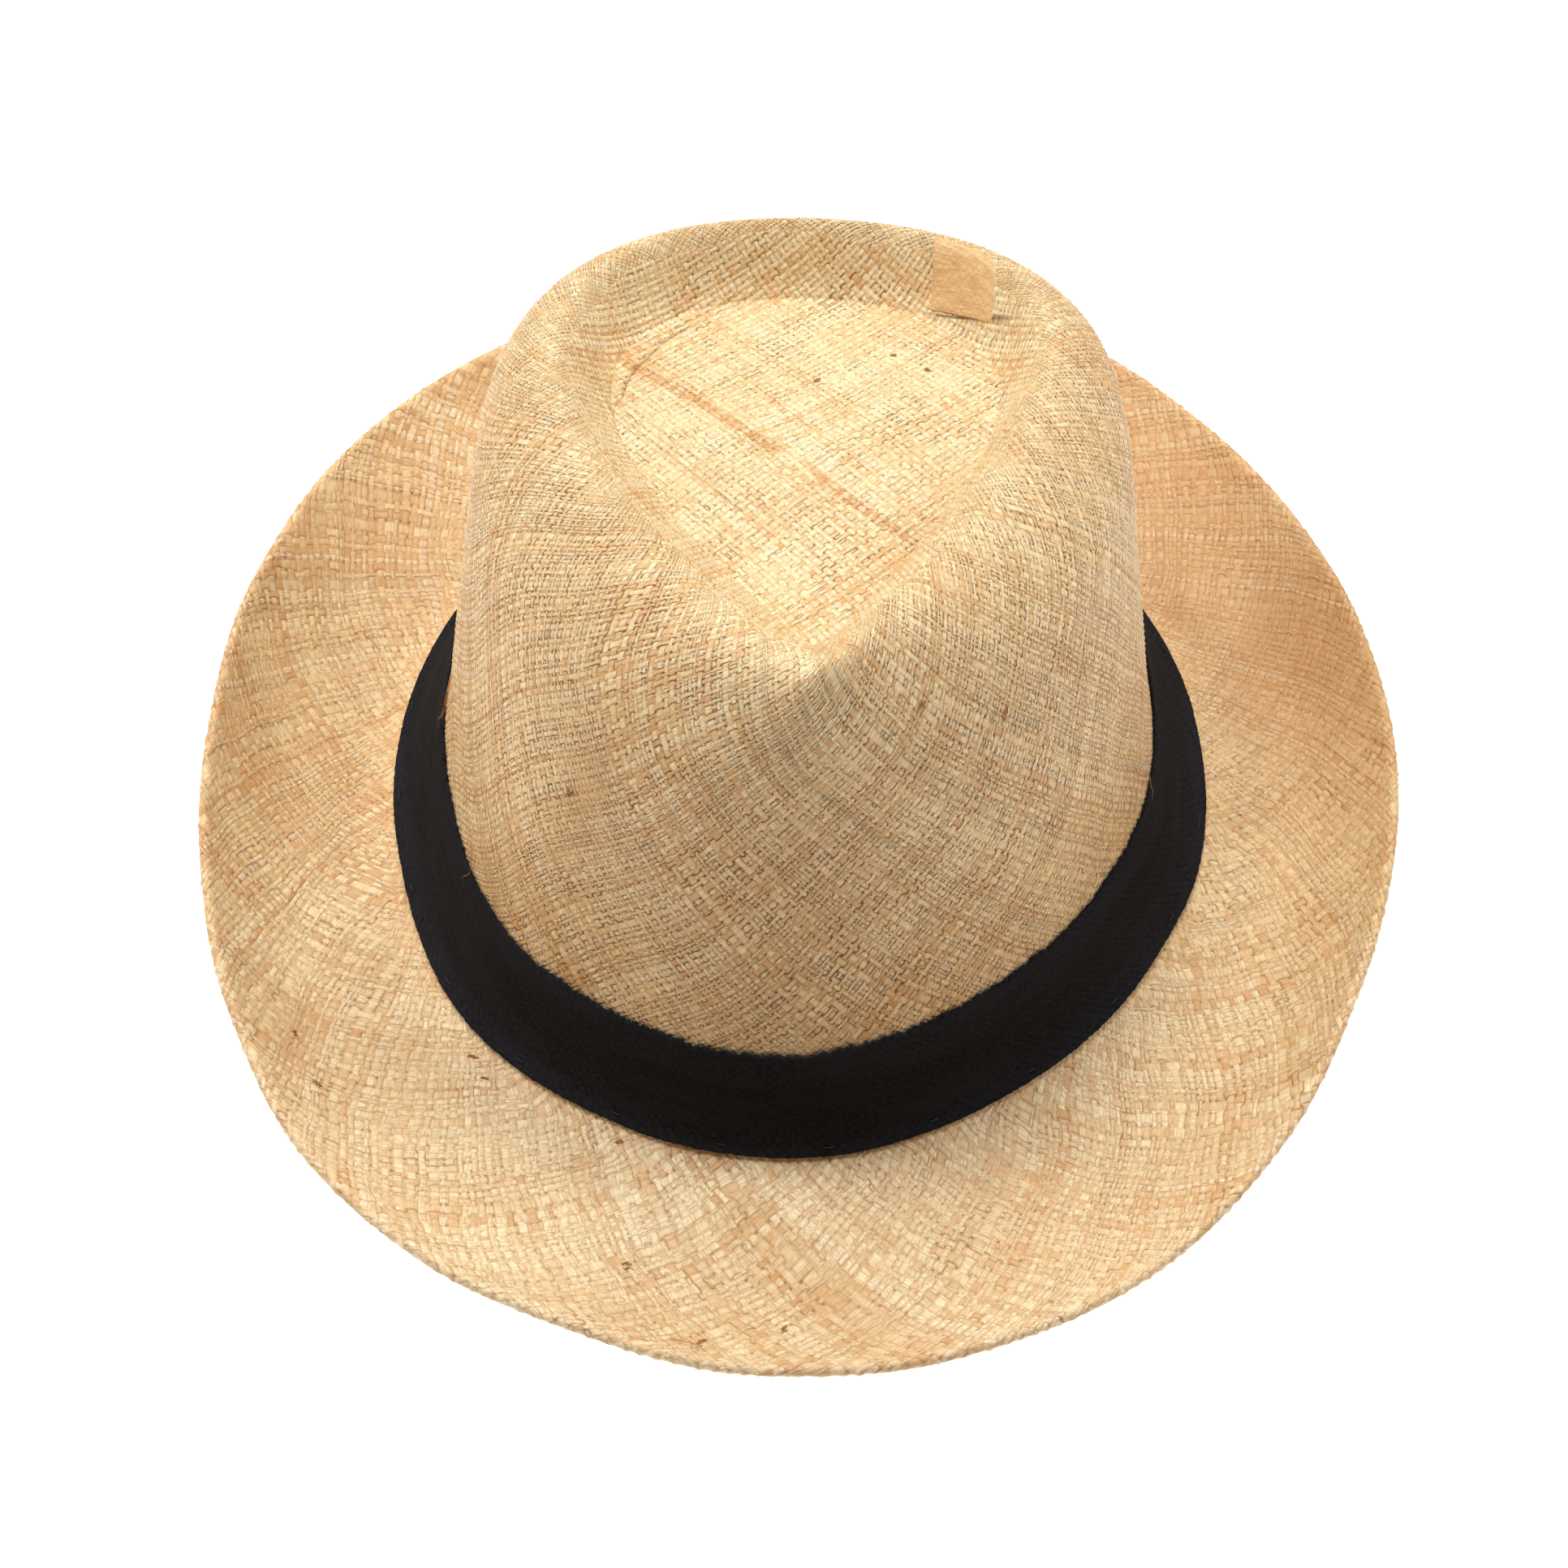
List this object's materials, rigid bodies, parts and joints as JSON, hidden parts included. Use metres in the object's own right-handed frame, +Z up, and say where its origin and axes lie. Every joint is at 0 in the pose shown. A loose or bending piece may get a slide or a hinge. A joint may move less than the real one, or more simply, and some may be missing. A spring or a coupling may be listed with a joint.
{
  "type": "panama hat",
  "caption": "Woven straw hat with a teardrop crown, a brim curled up at the sides, a plain dark ribbon band and an inner sweatband.",
  "frame": {"origin": "middle of the hat's outline on the plane that its brim rests on", "axes": "+Z up through the crown, +Y towards the back of the hat, so the front faces -Y; +X to the hat's left as it is worn"},
  "size_m": [0.2562, 0.3122, 0.1021],
  "materials": {
    "straw": "plain woven raffia straw, warm tan, slight sheen",
    "hem_straw": "raffia straw turned under the brim's edge",
    "patch_straw": "smooth pressed straw",
    "pale_thread": "cotton thread",
    "black_thread": "cotton thread",
    "band_ribbon": "coarse black ribbon, matt",
    "sweatband_ribbon": "dark ribbed cotton ribbon",
    "seam_tape": "dark cotton tape",
    "tab_fabric": "blank off-white satin tape"
  },
  "bodies": {
    "root": {"hat_body": "straw", "brim_hem": "hem_straw", "hem_stitching": "pale_thread", "crown_lap_patch": "patch_straw", "hat_band": "band_ribbon", "band_stitching": "black_thread", "band_keeper": "band_ribbon", "sweatband": "sweatband_ribbon", "sweatband_stitching": "pale_thread", "sweatband_seam_tape": "seam_tape", "size_tab": "tab_fabric"}
  },
  "joints": []
}
